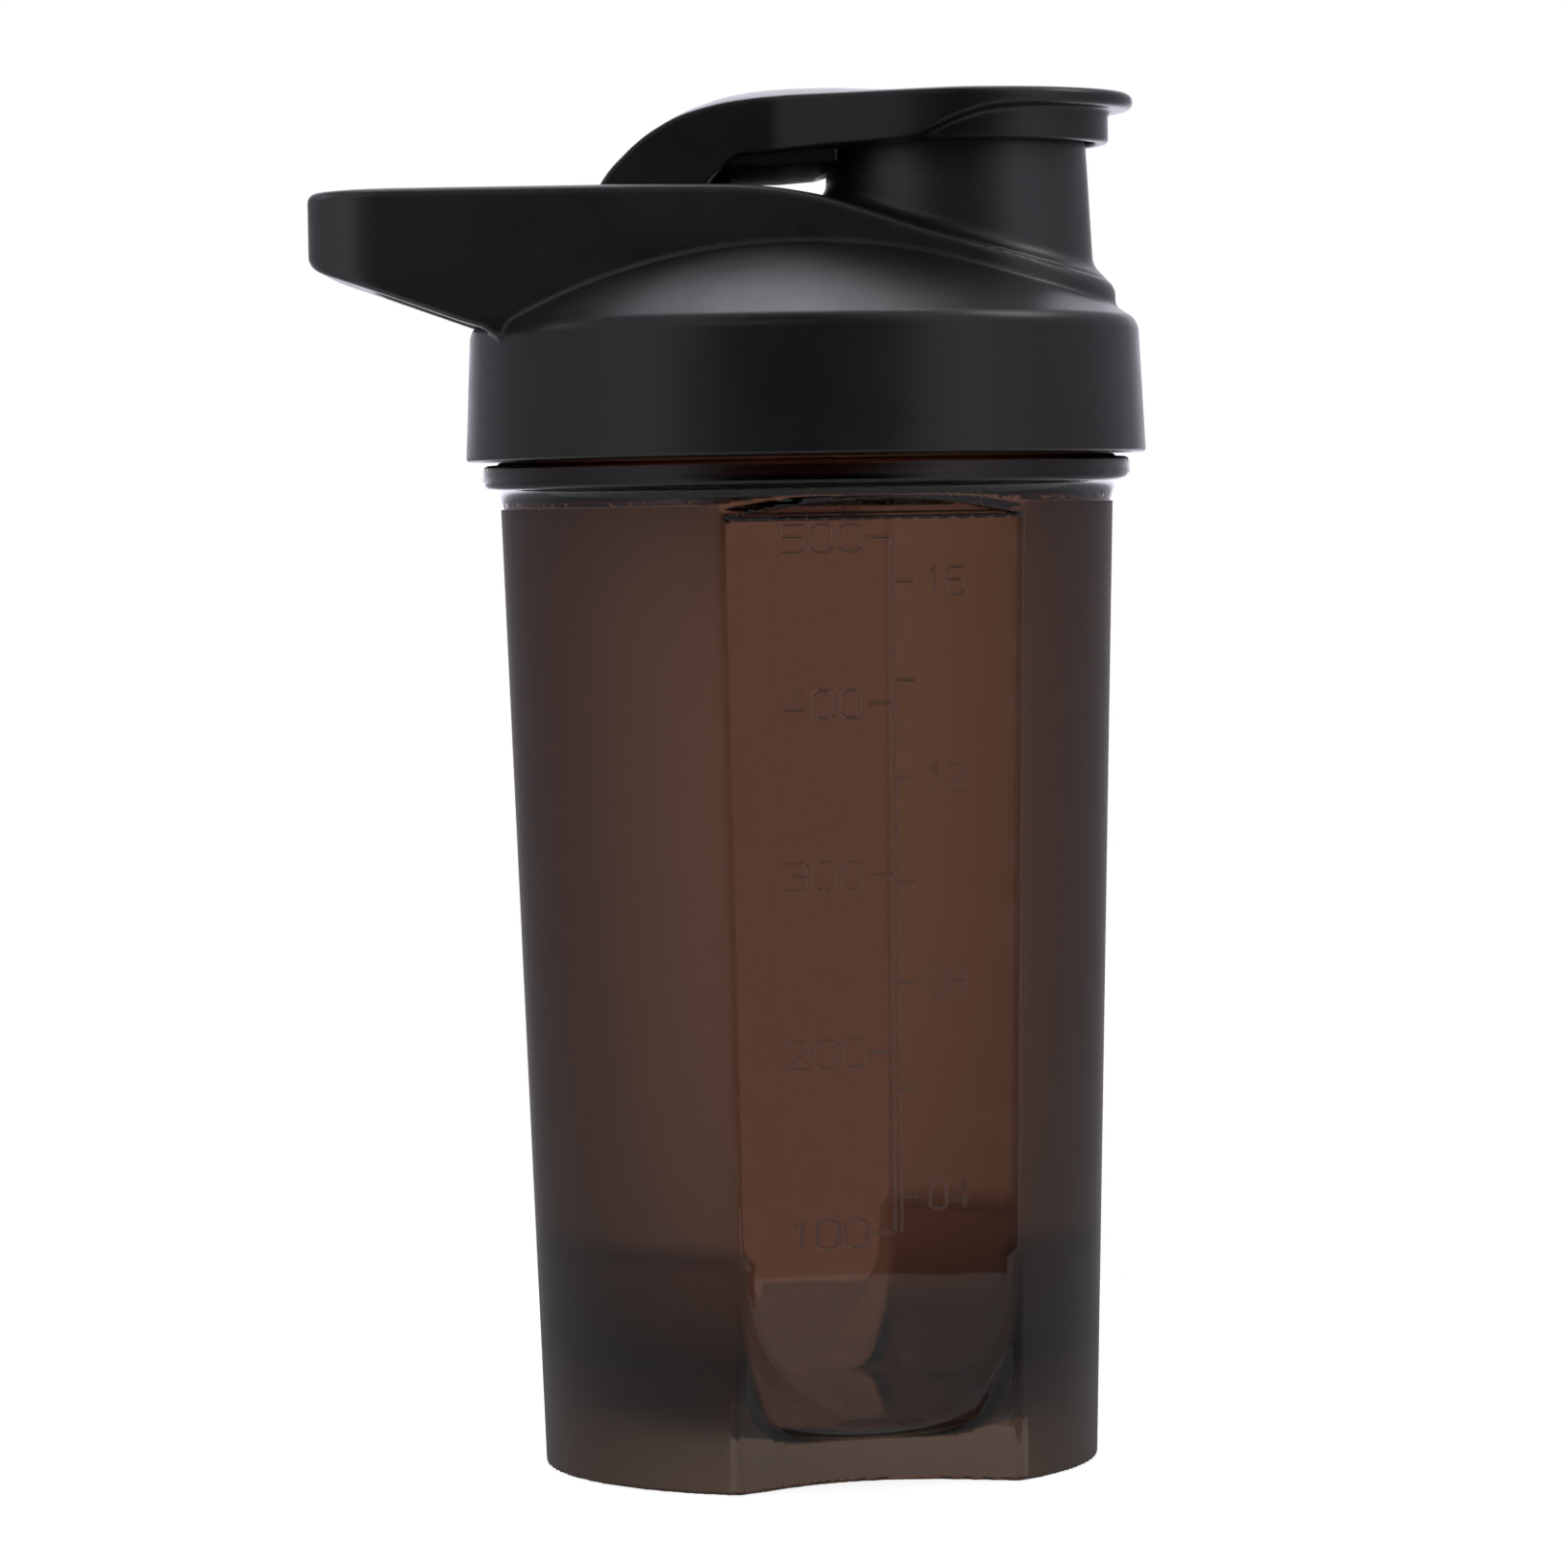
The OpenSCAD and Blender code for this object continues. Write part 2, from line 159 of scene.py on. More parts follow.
def cup_field(x, y, z):
    """The cup: wall, neck with its bead and thread, chamber and skirt."""
    r = np.hypot(x, y)
    cone, window = wall_field(x, y, z)
    wall = common(cone, window, 0.12)
    chamber = chamber_field(x, y, z)
    foot = union(-flute_field(x, y, z), chamber, 0.5)
    wall = common(wall, foot, 0.45)
    wall = common(wall, z - 131.2, 0)
    neck = np.maximum(r - NECK_R, 130 - z)
    body = np.minimum(wall, neck)
    bead = np.hypot(np.maximum(np.abs(r - BEAD_R) - 2.1, 0),
                    np.maximum(np.abs(z - BEAD_Z) - 0.9, 0)) - 0.7
    body = union(body, bead, np.where(z < 133.4, 2.6, 0.4))
    body = union(body, ridge(x, y, z, 139.6, 1.35, 41.0, 43.3), 0.2)
    body = common(body, z - RIM_Z, 0.5)
    # the chamber's inside
    cone_in, window_in = wall_field(x, y, z, WALL, PANE)
    inside = common(common(cone_in, chamber_field(x, y, z, PANE), 1.8), window_in, 0.7)
    inside = common(inside, z - 132.5, 0)
    bore = np.maximum(r - BORE_R, 130.6 - z)
    body = cut(body, union(inside, bore, 0.6), 0.5)
    # the skirt's hollow
    hollow = cut(common(cone_in, window_in, 0.4), flute_field(x, y, z, PANE), 0.4)
    hollow = np.maximum(cut(hollow, chamber, 0.6), z - 26)
    body = cut(body, hollow, 0.3)
    return common(body, -z, 0.35)


# ---------------------------------------------------------------- lid
COLLAR_R, COLLAR_Z = 46.0, 135.9
LOOP_X, LOOP_HALF, LID_WALL = -66.0, 21.6, 1.8
SPOUT_X, MOUTH_Z, SPOUT_BORE_R = 20.95, 181.4, 15.4
HINGE_X, HINGE_Z = -20.0, 169.4
ARM_HALF = 16.9

SADDLE_TOP = Curve([(-66, 171.9), (-55, 172.1), (-20, 172.1), (-10, 171.95), (-6, 171.75),
                    (-2.3, 171.25), (2.6, 170.35), (8.3, 168.55), (16, 165.95), (24, 163.6),
                    (34, 161.0), (41.2, 159.4)], 6)
LOOP_UNDER = Curve([(-66.2, 162.6), (-64.6, 161.4), (-62.8, 160.65), (-57.9, 158.95), (-52, 156.8),
                    (-45.3, 154.35), (-42.6, 153.5), (-39.8, 151.6), (-36, 150.0), (60, 150.0)], 1.6)


def plan_end(x, y, left, half, corner):
    """A bar along X that is 2 half wide, with its left end's corners rounded."""
    dx, dy = left + corner - x, np.abs(y) - half + corner
    return (np.hypot(np.maximum(dx, 0), np.maximum(dy, 0))
            + np.minimum(np.maximum(dx, dy), 0) - corner)


def hinge_r(x, z):
    return np.hypot(x - HINGE_X, z - HINGE_Z)


def lid_field(x, y, z):
    """The lid: collar and dome, the saddle that carries the loop, and the spout."""
    r = np.hypot(x, y)
    u = np.hypot(x - SPOUT_X, y)
    wall = (r - COLLAR_R + (z - COLLAR_Z) * 0.0468) * 0.9989
    dome = np.sqrt(r * r + (z - 84.0) ** 2) - 83.0
    body = common(common(wall, dome, 1.1), COLLAR_Z - z, 0.5)

    nose = np.hypot(np.maximum(x - SPOUT_X, 0) * LOOP_HALF / 21.25, y) - LOOP_HALF
    plan = np.maximum(nose, plan_end(x, y, LOOP_X, LOOP_HALF, 10.0))
    top = SADDLE_TOP.above(x, z)
    saddle = common(plan, top, 1.25 + 1.2 * blend_01(x, 26, 40))
    saddle = common(saddle, -LOOP_UNDER.above(x, z), 0.8)
    slot = np.maximum(plan_end(x, y, -58.6, ARM_HALF, 6.0), x + 9.8)
    saddle = cut(saddle, slot, 0.6)
    body = union(body, saddle, 0.7)

    spout = (u - 17.25 - (182.0 - z) * 0.049) * 0.9988
    spout = common(spout, z - MOUTH_Z, 0.7)
    spout = np.maximum(spout, 156.0 - z)
    body = union(body, spout, 2.3)
    body = cut(body, np.hypot(u - 20.5, top) - 0.42, 0.25)

    # inside: the screw bore, the rib, the hollow dome and the hollow under the spout
    body = cut(body, common(r - 44.2, z - 151.1, 0.3), 0.4)
    under = common(r - 37.8, dome + LID_WALL, 0.6)
    hollow = common(common(plan + LID_WALL, top + LID_WALL, 0.8), -7.0 - x, 0.4)
    hollow = cut(hollow, np.maximum(38.5 - r, z - 158.0), 0.3)
    under = union(under, hollow, 0.6)
    under = cut(under, common(hinge_r(x, z) - 12.0, np.abs(y) - ARM_HALF - LID_WALL, 0.4), 0.6)
    rib = common(between(r, 37.8, 39.2), between(z, 147.2, 152.5), 0.4)
    body = cut(union(body, rib, 0.2), under, 0.3)
    body = union(body, ridge(x, y, z, 138.1, 1.1, 44.7, 42.15), 0.2)

    body = cut(body, common(hinge_r(x, z) - 10.2, np.abs(y) - ARM_HALF, 0.4), 0.45)
    body = cut(body, np.maximum(u - SPOUT_BORE_R, 150.0 - z), 0.6)
    return cut(body, np.maximum(hinge_r(x, z) - 1.56, np.abs(y) - 20.2), 0.1)


# ---------------------------------------------------------------- flip cap
CAP_R = 23.9
CAP_EDGE = Curve([(-30, 167.6), (-26.3, 172.9), (-24.7, 175.0), (-23, 176.8), (-20.8, 178.65),
                  (-19.3, 179.6), (-17, 180.9), (-15, 181.7), (-13.2, 182.2), (-11.2, 182.7),
                  (-9.3, 183.05), (-5.5, 183.5), (-1.6, 183.7), (6, 183.75), (13.6, 183.9),
                  (21, 184.05), (50, 184.1)], 3.5)
CAP_UNDER = Curve([(-26, 167.0), (-15, 167.0), (-13.4, 171.0), (-12.7, 172.4), (-10.2, 174.9),
                   (-8.4, 176.0), (3.6, 176.9), (13.5, 177.3), (15.0, 177.6), (17.5, 178.75),
                   (20.1, 179.95), (22.2, 180.65), (24, 181.2), (27, 181.6), (31, 181.85),
                   (50, 181.9)], 1.4)
HALF_WIDTH = Curve([(-40, 16.3), (-4, 16.3), (12.71, 22.43), (15, 23.14), (18, 23.72),
                    (20.95, 23.9), (24, 23.7), (27, 23.12)], 5)


def cap_field(x, y, z):
    """The flip cap: arm, crown, keel and the ring that closes round the spout."""
    ay = np.abs(y)
    u = np.hypot(x - SPOUT_X, y)
    # the plan is a disc over the spout, and an arm that widens towards it
    head = blend_01(x, 12, 19)
    plan = (1 - head) * HALF_WIDTH.above(x, ay) + head * (u - CAP_R)
    off = np.where(x < SPOUT_X, ay / np.interp(x, HALF_WIDTH.x, HALF_WIDTH.z), u / CAP_R)
    crown = 0.25 + 1.5 * blend_01(x, -27, -5) - 0.9 * blend_01(x, 3, 15)
    top = CAP_EDGE.above(x, z - crown * (1 - np.minimum(off, 1.2) ** 2))
    side = common(top, -CAP_UNDER.above(x, z), 0.5)
    side = union(np.maximum(side, -26.9 - x), hinge_r(x, z) - 7.1, 0.6)
    body = common(plan, side, 0.55 + 0.55 * blend_01(x, 5, 32))
    keel = np.maximum(172.75 + np.maximum(x + 3.2, 0) * 0.072 + 0.011 * y * y - z, z - 178.0)
    keel = common(common(keel, np.maximum(-12.4 - x, x - 5.0), 0.3), ay - 13.0, 0.6)
    body = union(body, keel, 0.4)
    ring = common(common(u - 20.55, 177.4 - z, 0.7), z - 183.0, 0)
    body = union(body, ring, 0.9)
    body = cut(body, np.maximum(u - 18.9, z - 182.9), 0.5)
    return cut(body, hinge_r(x, z) - 1.5, 0.1)


# ---------------------------------------------------------------- small parts
GRID_R, GRID_Z, GRID_TOP = 37.8, 144.2, 149.4


def grid_field(x, y, z):
    """The strainer: a rim, three rings and four bars right across."""
    r = np.hypot(x, y)
    half_bar = 0.75
    bars = common(between(r, GRID_R - 1.5, GRID_R), between(z, GRID_Z, GRID_TOP), 0.35)
    level = between(z, GRID_Z, GRID_Z + 2.4)
    for ring_r in (9, 18, 27):
        bars = union(bars, common(np.abs(r - ring_r) - half_bar, level, 0.35), 0.3)
    for i in range(4):
        a = i * math.pi / 4
        side = np.abs(x * math.sin(a) - y * math.cos(a)) - half_bar
        bars = union(bars, common(common(side, level, 0.35), r - 37.2, 0), 0.3)
    return bars


# ---------------------------------------------------------------- meshing
def slope_of(field, p, reach):
    """The field and its gradient at points, from five samples."""
    corners = np.array([(1, -1, -1), (-1, -1, 1), (-1, 1, -1), (1, 1, 1)], float)
    g = np.zeros_like(p)
    for c in corners:
        g += c * field(*(p + c * reach).T)[:, None]
    return field(*p.T), g / (4 * reach)


def onto(field, p, times, cell):
    """Moves points on to the field's zero surface, by short steps along its gradient."""
    for _ in range(times):
        d, g = slope_of(field, p, 0.03)
        step = d[:, None] * g / np.maximum((g * g).sum(1), 0.05)[:, None]
        far = np.linalg.norm(step, axis=1, keepdims=True)
        p = p - step * np.minimum(1, 0.6 * cell / np.maximum(far, 1e-9))
    return p


def surface_net(field, low, high, cell):
    """A closed quad mesh of the field's zero surface."""
    axes = [np.arange(a - 2.3 * cell, b + 3 * cell, cell) for a, b in zip(low, high)]
    x, y, z = (a.astype(np.float32) for a in axes)
    shape = tuple(len(a) for a in axes)
    v = np.empty(shape, np.float32)
    slab = 24
    for k in range(0, shape[2], slab):
        v[:, :, k:k + slab] = field(x[:, None, None], y[None, :, None], z[None, None, k:k + slab])
    solid = v < 0
    count = np.zeros(tuple(n - 1 for n in shape), np.int8)
    offsets = [(i, j, k) for i in (0, 1) for j in (0, 1) for k in (0, 1)]
    for i, j, k in offsets:
        count += solid[i:shape[0] - 1 + i, j:shape[1] - 1 + j, k:shape[2] - 1 + k]
    active = (count > 0) & (count < 8)
    cells = np.argwhere(active)
    index = np.full(active.shape, -1, np.int64)
    index[active] = np.arange(len(cells))
    total, hits = np.zeros((len(cells), 3)), np.zeros(len(cells))
    for a in offsets:
        for axis in range(3):
            if a[axis]:
                continue
            b = tuple(n + (i == axis) for i, n in enumerate(a))
            va = v[tuple((cells + a).T)].astype(float)
            vb = v[tuple((cells + b).T)].astype(float)
            crosses = (va < 0) != (vb < 0)
            t = np.where(crosses, va / np.where(crosses, va - vb, 1), 0)
            where = np.array(a, float) + t[:, None] * np.eye(3)[axis]
            total += where * crosses[:, None]
            hits += crosses
    start = np.array([a[0] for a in axes])
    points = start + (cells + total / hits[:, None]) * cell
    quads = []
    for axis in range(3):
        b, c = (axis + 1) % 3, (axis + 2) % 3
        step = np.eye(3, dtype=int)
        ahead = np.moveaxis(solid, axis, 0)
        flips = np.moveaxis(ahead[1:] != ahead[:-1], 0, axis)
        e = np.argwhere(flips)
        e = e[(e[:, b] > 0) & (e[:, c] > 0)]
        e = e[(e[:, b] < index.shape[b]) & (e[:, c] < index.shape[c])]
        ring = [e - step[b] - step[c], e - step[c], e, e - step[b]]
        quad = np.stack([index[tuple(q.T)] for q in ring], 1)
        leaving = solid[tuple(e.T)]
        quad[~leaving] = quad[~leaving][:, ::-1]
        quads.append(quad)
    return points, np.concatenate(quads)


def relax(field, p, quads, cell, rounds):
    """Evens the quads out along the surface."""
    a = np.concatenate([quads[:, i] for i in range(4)])
    b = np.concatenate([quads[:, (i + 1) % 4] for i in range(4)])
    near = np.bincount(a, minlength=len(p)) + np.bincount(b, minlength=len(p))
    for _ in range(rounds):
        mean = np.stack([np.bincount(a, p[b, k], len(p)) + np.bincount(b, p[a, k], len(p))
                         for k in range(3)], 1) / near[:, None]
        _, g = slope_of(field, p, 0.03)
        n = g / np.maximum(np.linalg.norm(g, axis=1, keepdims=True), 1e-9)
        move = mean - p
        p = p + 0.6 * (move - n * (move * n).sum(1, keepdims=True))
        p = onto(field, p, 1, cell)
    return p


def add_mesh(name, points, faces, material, body):
    mesh = bpy.data.meshes.new(name)
    mesh.from_pydata((np.asarray(points) * MM).tolist(), [], [list(map(int, f)) for f in faces])
    mesh.materials.append(material)
    piece = bpy.data.objects.new(name, mesh)
    bpy.context.scene.collection.objects.link(piece)
    mesh.shade_smooth()
    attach(piece, body)
    return piece


def face_out(piece):
    """Turns the piece's faces outwards."""
    mesh = bmesh.new()
    mesh.from_mesh(piece.data)
    bmesh.ops.recalc_face_normals(mesh, faces=mesh.faces)
    mesh.to_mesh(piece.data)
    return piece


def thin_out(piece, ratio):
    """Thins the piece's mesh to a share of its triangles."""
    thin = piece.modifiers.new("thin", "DECIMATE")
    thin.ratio = ratio
    shape = piece.evaluated_get(bpy.context.evaluated_depsgraph_get())
    mesh = bpy.data.meshes.new_from_object(shape)
    piece.modifiers.clear()
    piece.data = mesh


def field_piece(name, field, low, high, cell, most, material, body):
    """Meshes a field, thins the mesh to at most so many triangles, and shades it by the field."""
    cell = cell * COARSER
    points, quads = surface_net(field, low, high, cell)
    points = onto(field, points, 3, cell)
    points = relax(field, points, quads, cell, 2)
    points = onto(field, points, 2, cell)
    piece = add_mesh(name, points, quads, material, body)
    triangles = 2 * len(quads)
    if triangles > most:
        thin_out(piece, most / triangles)
    mesh = piece.data
    co = np.empty(len(mesh.vertices) * 3)
    mesh.vertices.foreach_get("co", co)
    p = onto(field, co.reshape(-1, 3) / MM, 1, cell * 0.3)
    mesh.vertices.foreach_set("co", (p * MM).ravel())
    _, g = slope_of(field, p, 0.08)
    g /= np.maximum(np.linalg.norm(g, axis=1, keepdims=True), 1e-9)
    mesh.shade_smooth()
    mesh.normals_split_custom_set_from_vertices(g.tolist())
    mesh.update()
    return piece


def lathe(name, profile, centre, material, body, ring=False, across=False, steps=144):
    """Turns a profile of (radius, height) about a line through centre: a ring, or capped flat."""
    n = len(profile)
    angles = np.arange(steps) * TAU / steps
    points = []
    for r, h in profile:
        turned = np.stack([r * np.cos(angles), r * np.sin(angles), np.full(steps, h)], 1)
        points.append((turned[:, [0, 2, 1]] if across else turned) + centre)
    faces = []
    for i in range(n if ring else n - 1):
        j = (i + 1) % n
        for k in range(steps):
            m = (k + 1) % steps
            faces.append((i * steps + k, i * steps + m, j * steps + m, j * steps + k))
    if not ring:
        faces += [tuple(range(steps)), tuple((n - 1) * steps + k for k in range(steps))]
    return face_out(add_mesh(name, np.concatenate(points), faces, material, body))


def rounded(corners, r, steps=4, closed=True):
    """A closed profile with each of its corners replaced by a short arc."""
    out = []
    n = len(corners)
    for i, here in enumerate(corners):
        if not closed and i in (0, n - 1):
            out.append(here)
            continue
        p = np.array(here, float)
        a = np.array(corners[i - 1], float) - p
        b = np.array(corners[(i + 1) % n], float) - p
        reach = min(r, 0.45 * np.linalg.norm(a), 0.45 * np.linalg.norm(b))
        a, b = p + a / np.linalg.norm(a) * reach, p + b / np.linalg.norm(b) * reach
        for t in np.linspace(0, 1, steps + 1):
            out.append(tuple((1 - t) ** 2 * a + 2 * t * (1 - t) * p + t * t * b))
    return out


# ---------------------------------------------------------------- materials
def mixed(tree, factor, a, b, blend="MIX"):
    """Two colours mixed by a factor in a node tree."""
    mix = tree.nodes.new("ShaderNodeMix")
    mix.data_type, mix.blend_type = "RGBA", blend
    for slot, value in ((0, factor), (6, a), (7, b)):
        if isinstance(value, bpy.types.NodeSocket):
            tree.links.new(value, mix.inputs[slot])
        else:
            mix.inputs[slot].default_value = value
    return mix.outputs[2]


class Nodes:
    """A short way to write a material's nodes."""

    def __init__(self, name, **values):
        self.material = bpy.data.materials.new(name)
        self.material.use_nodes = True
        self.tree = self.material.node_tree
        self.shader = self.tree.nodes["Principled BSDF"]
        self.output = self.tree.nodes["Material Output"]
        for key, value in values.items():
            self.set(key, value)
        self.place = self.tree.nodes.new("ShaderNodeTexCoord").outputs["Object"]

    def feed(self, target, value):
        if isinstance(value, bpy.types.NodeSocket):
            self.tree.links.new(value, target)
        else:
            target.default_value = value

    def set(self, socket, value):
        self.feed(self.shader.inputs[socket], value)

    def add(self, kind, **sockets):
        node = self.tree.nodes.new("ShaderNode" + kind)
        for key, value in sockets.items():
            self.feed(node.inputs[key], value)
        return node

    def math(self, operation, a, b=0.0, clamp=False):
        node = self.tree.nodes.new("ShaderNodeMath")
        node.operation, node.use_clamp = operation, clamp
        self.feed(node.inputs[0], a)
        self.feed(node.inputs[1], b)
        return node.outputs[0]

    def noise(self, size_mm, detail=3.0, roughness=0.5):
        return self.add("TexNoise", Vector=self.place, Scale=1 / (size_mm * MM), Detail=detail,
                        Roughness=roughness).outputs[0]

    def span(self, value, a, b, c, d):
        """value from a..b mapped to c..d, held at the ends."""
        node = self.add("MapRange", Value=value)
        for key, v in zip(("From Min", "From Max", "To Min", "To Max"), (a, b, c, d)):
            node.inputs[key].default_value = v
        return node.outputs["Result"]

    def colours(self, factor, a, b):
        """Colour a where the factor is 0 and b where it is 1."""
        a, b = ((*tone, 1) if isinstance(tone, tuple) else tone for tone in (a, b))
        return mixed(self.tree, factor, a, b)

    def bump(self, heights):
        """Adds up (height, depth in mm) as one bump."""
        total = None
        for height, depth in heights:
            part = self.math("MULTIPLY", height, depth * MM)
            total = part if total is None else self.math("ADD", total, part)
        node = self.add("Bump", Height=total, Strength=1.0, Distance=1.0)
        self.set("Normal", node.outputs["Normal"])


def black_plastic():
    m = Nodes("black_satin_plastic", Metallic=0.0, IOR=1.49)
    grain, cloud, scuff = m.noise(0.36, 2.0, 0.6), m.noise(9.0), m.noise(2.2, 5.0, 0.7)
    m.set("Base Color", m.colours(m.span(cloud, 0.3, 0.7, 0, 1), (0.0082, 0.0080, 0.0090),
                                  (0.0104, 0.0101, 0.0113)))
    # above the collar the mould is textured: rougher, and brighter in its highlights
    height = m.add("SeparateXYZ", Vector=m.place).outputs[2]
    upper = m.math("MULTIPLY", m.span(height, 153.5 * MM, 155.5 * MM, 0, 1),
                   m.span(height, 173 * MM, 177 * MM, 1, 0.1))
    base = m.math("ADD", m.span(cloud, 0.3, 0.7, 0.30, 0.36), m.math("MULTIPLY", upper, 0.08))
    m.set("Roughness", m.math("ADD", base, m.span(scuff, 0.55, 0.8, 0, 0.08)))
    m.set("Specular IOR Level", m.math("ADD", m.math("MULTIPLY", upper, 0.35), 0.5))
    texture = m.math("MULTIPLY", grain, m.span(upper, 0, 1, 0.6, 1.6))
    m.bump([(texture, 0.012), (scuff, 0.004)])
    return m.material


def silicone():
    m = Nodes("grey_silicone", Metallic=0.0, IOR=1.41)
    dust, cloud = m.noise(0.25, 3.0, 0.6), m.noise(4.0)
    m.set("Base Color", m.colours(cloud, (0.19, 0.19, 0.20), (0.25, 0.25, 0.26)))
    m.set("Roughness", m.span(dust, 0.3, 0.7, 0.5, 0.62))
    m.bump([(dust, 0.008)])
    return m.material


def steel():
    m = Nodes("drawn_steel", Metallic=1.0)
    stretch = m.add("Mapping", Vector=m.place)
    stretch.inputs["Scale"].default_value = (1, 0.04, 1)
    lines = m.add("TexNoise", Vector=stretch.outputs[0], Scale=9000.0, Detail=2.0)
    streak = lines.outputs[0]
    m.set("Base Color", m.colours(streak, (0.5, 0.5, 0.5), (0.66, 0.66, 0.65)))
    m.set("Roughness", m.span(streak, 0.3, 0.7, 0.2, 0.34))
    m.bump([(streak, 0.004)])
    return m.material


def frost_mask(m, x, y, z):
    """1 where the mould frosts the cup; 0 on its windows and neck, and near 0 inside the flutes."""
    c, s = math.cos(WINDOW_TURN), math.sin(WINDOW_TURN)
    out = m.math("ABSOLUTE", m.math("SUBTRACT", m.math("MULTIPLY", x, s),
                                    m.math("MULTIPLY", y, c)))
    across = m.math("ABSOLUTE", m.math("ADD", m.math("MULTIPLY", x, c),
                                       m.math("MULTIPLY", y, s)))
    r = m.math("SQRT", m.math("ADD", m.math("MULTIPLY", x, x), m.math("MULTIPLY", y, y)))
    cone = m.math("ADD", m.math("MULTIPLY", z, FLARE), BASE_R * MM)
    depth = m.math("SUBTRACT", out, m.math("MULTIPLY", cone, WINDOW_SHARE))
    edge = m.math("SUBTRACT", r, cone)
    outer = m.math("GREATER_THAN", depth, -0.06 * MM)
    inner = m.math("MULTIPLY", m.math("GREATER_THAN", depth, (-PANE - 0.06) * MM),
                   m.math("LESS_THAN", m.math("MAXIMUM", depth, edge), -0.8 * MM))
    flute = m.math("MULTIPLY", m.span(z, 10 * MM, 15 * MM, 0.93, 0),
                   m.math("LESS_THAN", across, 20.2 * MM))
    neck = m.math("GREATER_THAN", z, (SHOULDER_Z + 0.2) * MM)
    clear = m.math("MAXIMUM", m.math("MAXIMUM", outer, inner), m.math("MAXIMUM", flute, neck))
    return m.math("SUBTRACT", 1.0, clear, True)


def see_through(m):
    """Makes the plastic transmit, with a smoke-brown tint that grows with its thickness."""
    m.set("Transmission Weight", 1.0)
    tint = m.add("VolumeAbsorption", Color=(0.393, 0.185, 0.064, 1), Density=1140.0)
    m.tree.links.new(tint.outputs[0], m.output.inputs["Volume"])
    return m.material


def smoke_plastic():
    m = Nodes("smoke_plastic", Metallic=0.0, IOR=1.49)
    x, y, z = m.add("SeparateXYZ", Vector=m.place).outputs
    frost = frost_mask(m, x, y, z)
    polish = m.span(z, 132.7 * MM, 133.2 * MM, 0.025, 0.25)
    m.set("Roughness", m.math("ADD", m.math("MULTIPLY", frost, 0.52), polish))
    tone = m.colours(frost, (0.97, 0.95, 0.93), (0.82, 0.79, 0.70))
    # painted shade: from just under the lid's collar upwards the cup's colour turns dark grey,
    # standing in for the shade under and inside the collar
    painted_shade_under_collar = m.span(z, 135.0 * MM, 135.4 * MM, 0, 1)
    m.set("Base Color", m.colours(painted_shade_under_collar, tone, (0.3, 0.3, 0.3)))
    grain, wave = m.noise(0.22, 2.0, 0.6), m.noise(14.0, 2.0)
    m.bump([(m.math("MULTIPLY", frost, grain), 0.010),
            (m.math("MULTIPLY", m.math("SUBTRACT", 1.0, frost), wave), 0.03)])
    return see_through(m)


def smoke_mark():
    m = Nodes("smoke_mark", Metallic=0.0, IOR=1.49)
    fleck = m.noise(0.8, 2.0)
    m.set("Base Color", (0.95, 0.93, 0.91, 1))
    m.set("Roughness", m.span(fleck, 0.3, 0.7, 0.05, 0.10))
    return see_through(m)


# ---------------------------------------------------------------- pieces
BLACK, GREY, PIN = black_plastic(), silicone(), steel()
SMOKE, MARK = smoke_plastic(), smoke_mark()

cup = field_piece("cup_moulding", cup_field, (-44.2, -44.2, 0), (44.2, 44.2, 149.7), 0.6,
                  190000, SMOKE, "cup")
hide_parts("cup")
lid = field_piece("lid_moulding", lid_field, (LOOP_X, -COLLAR_R, COLLAR_Z),
                  (COLLAR_R, COLLAR_R, MOUTH_Z), 0.45, 190000, BLACK, "lid")
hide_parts("lid")
cap = field_piece("cap_moulding", cap_field, (-28, -CAP_R, 161.4), (44.9, CAP_R, 185.6), 0.42,
                  120000, BLACK, "flip_cap")
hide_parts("flip_cap")
grid = field_piece("strainer_grid", grid_field, (-GRID_R, -GRID_R, GRID_Z),
                   (GRID_R, GRID_R, GRID_TOP), 0.42, 60000, BLACK, "lid")
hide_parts("mixer_grid")

gasket = lathe("gasket_ring", rounded([(39.35, 149.62), (43.4, 149.62), (43.4, 151.08),
                                       (39.35, 151.08)], 0.35),
               (0, 0, 0), GREY, "lid_gasket", ring=True)
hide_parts("lid_gasket")
seal = lathe("seal_disc", rounded([(12.8, 180.0), (13.6, 180.0), (14.1, 181.46), (18.85, 181.46),
                                   (18.85, 182.88), (18.2, 182.88)], 0.3, closed=False),
             (SPOUT_X, 0, 0), GREY, "flip_cap")
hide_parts("spout_seal")
pin = lathe("pin_rod", rounded([(1.2, -20.1), (1.49, -20.1), (1.49, 20.1), (1.2, 20.1)], 0.25,
                               closed=False),
            (HINGE_X, 0, HINGE_Z), PIN, "flip_cap", across=True, steps=48)
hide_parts("hinge_pin")

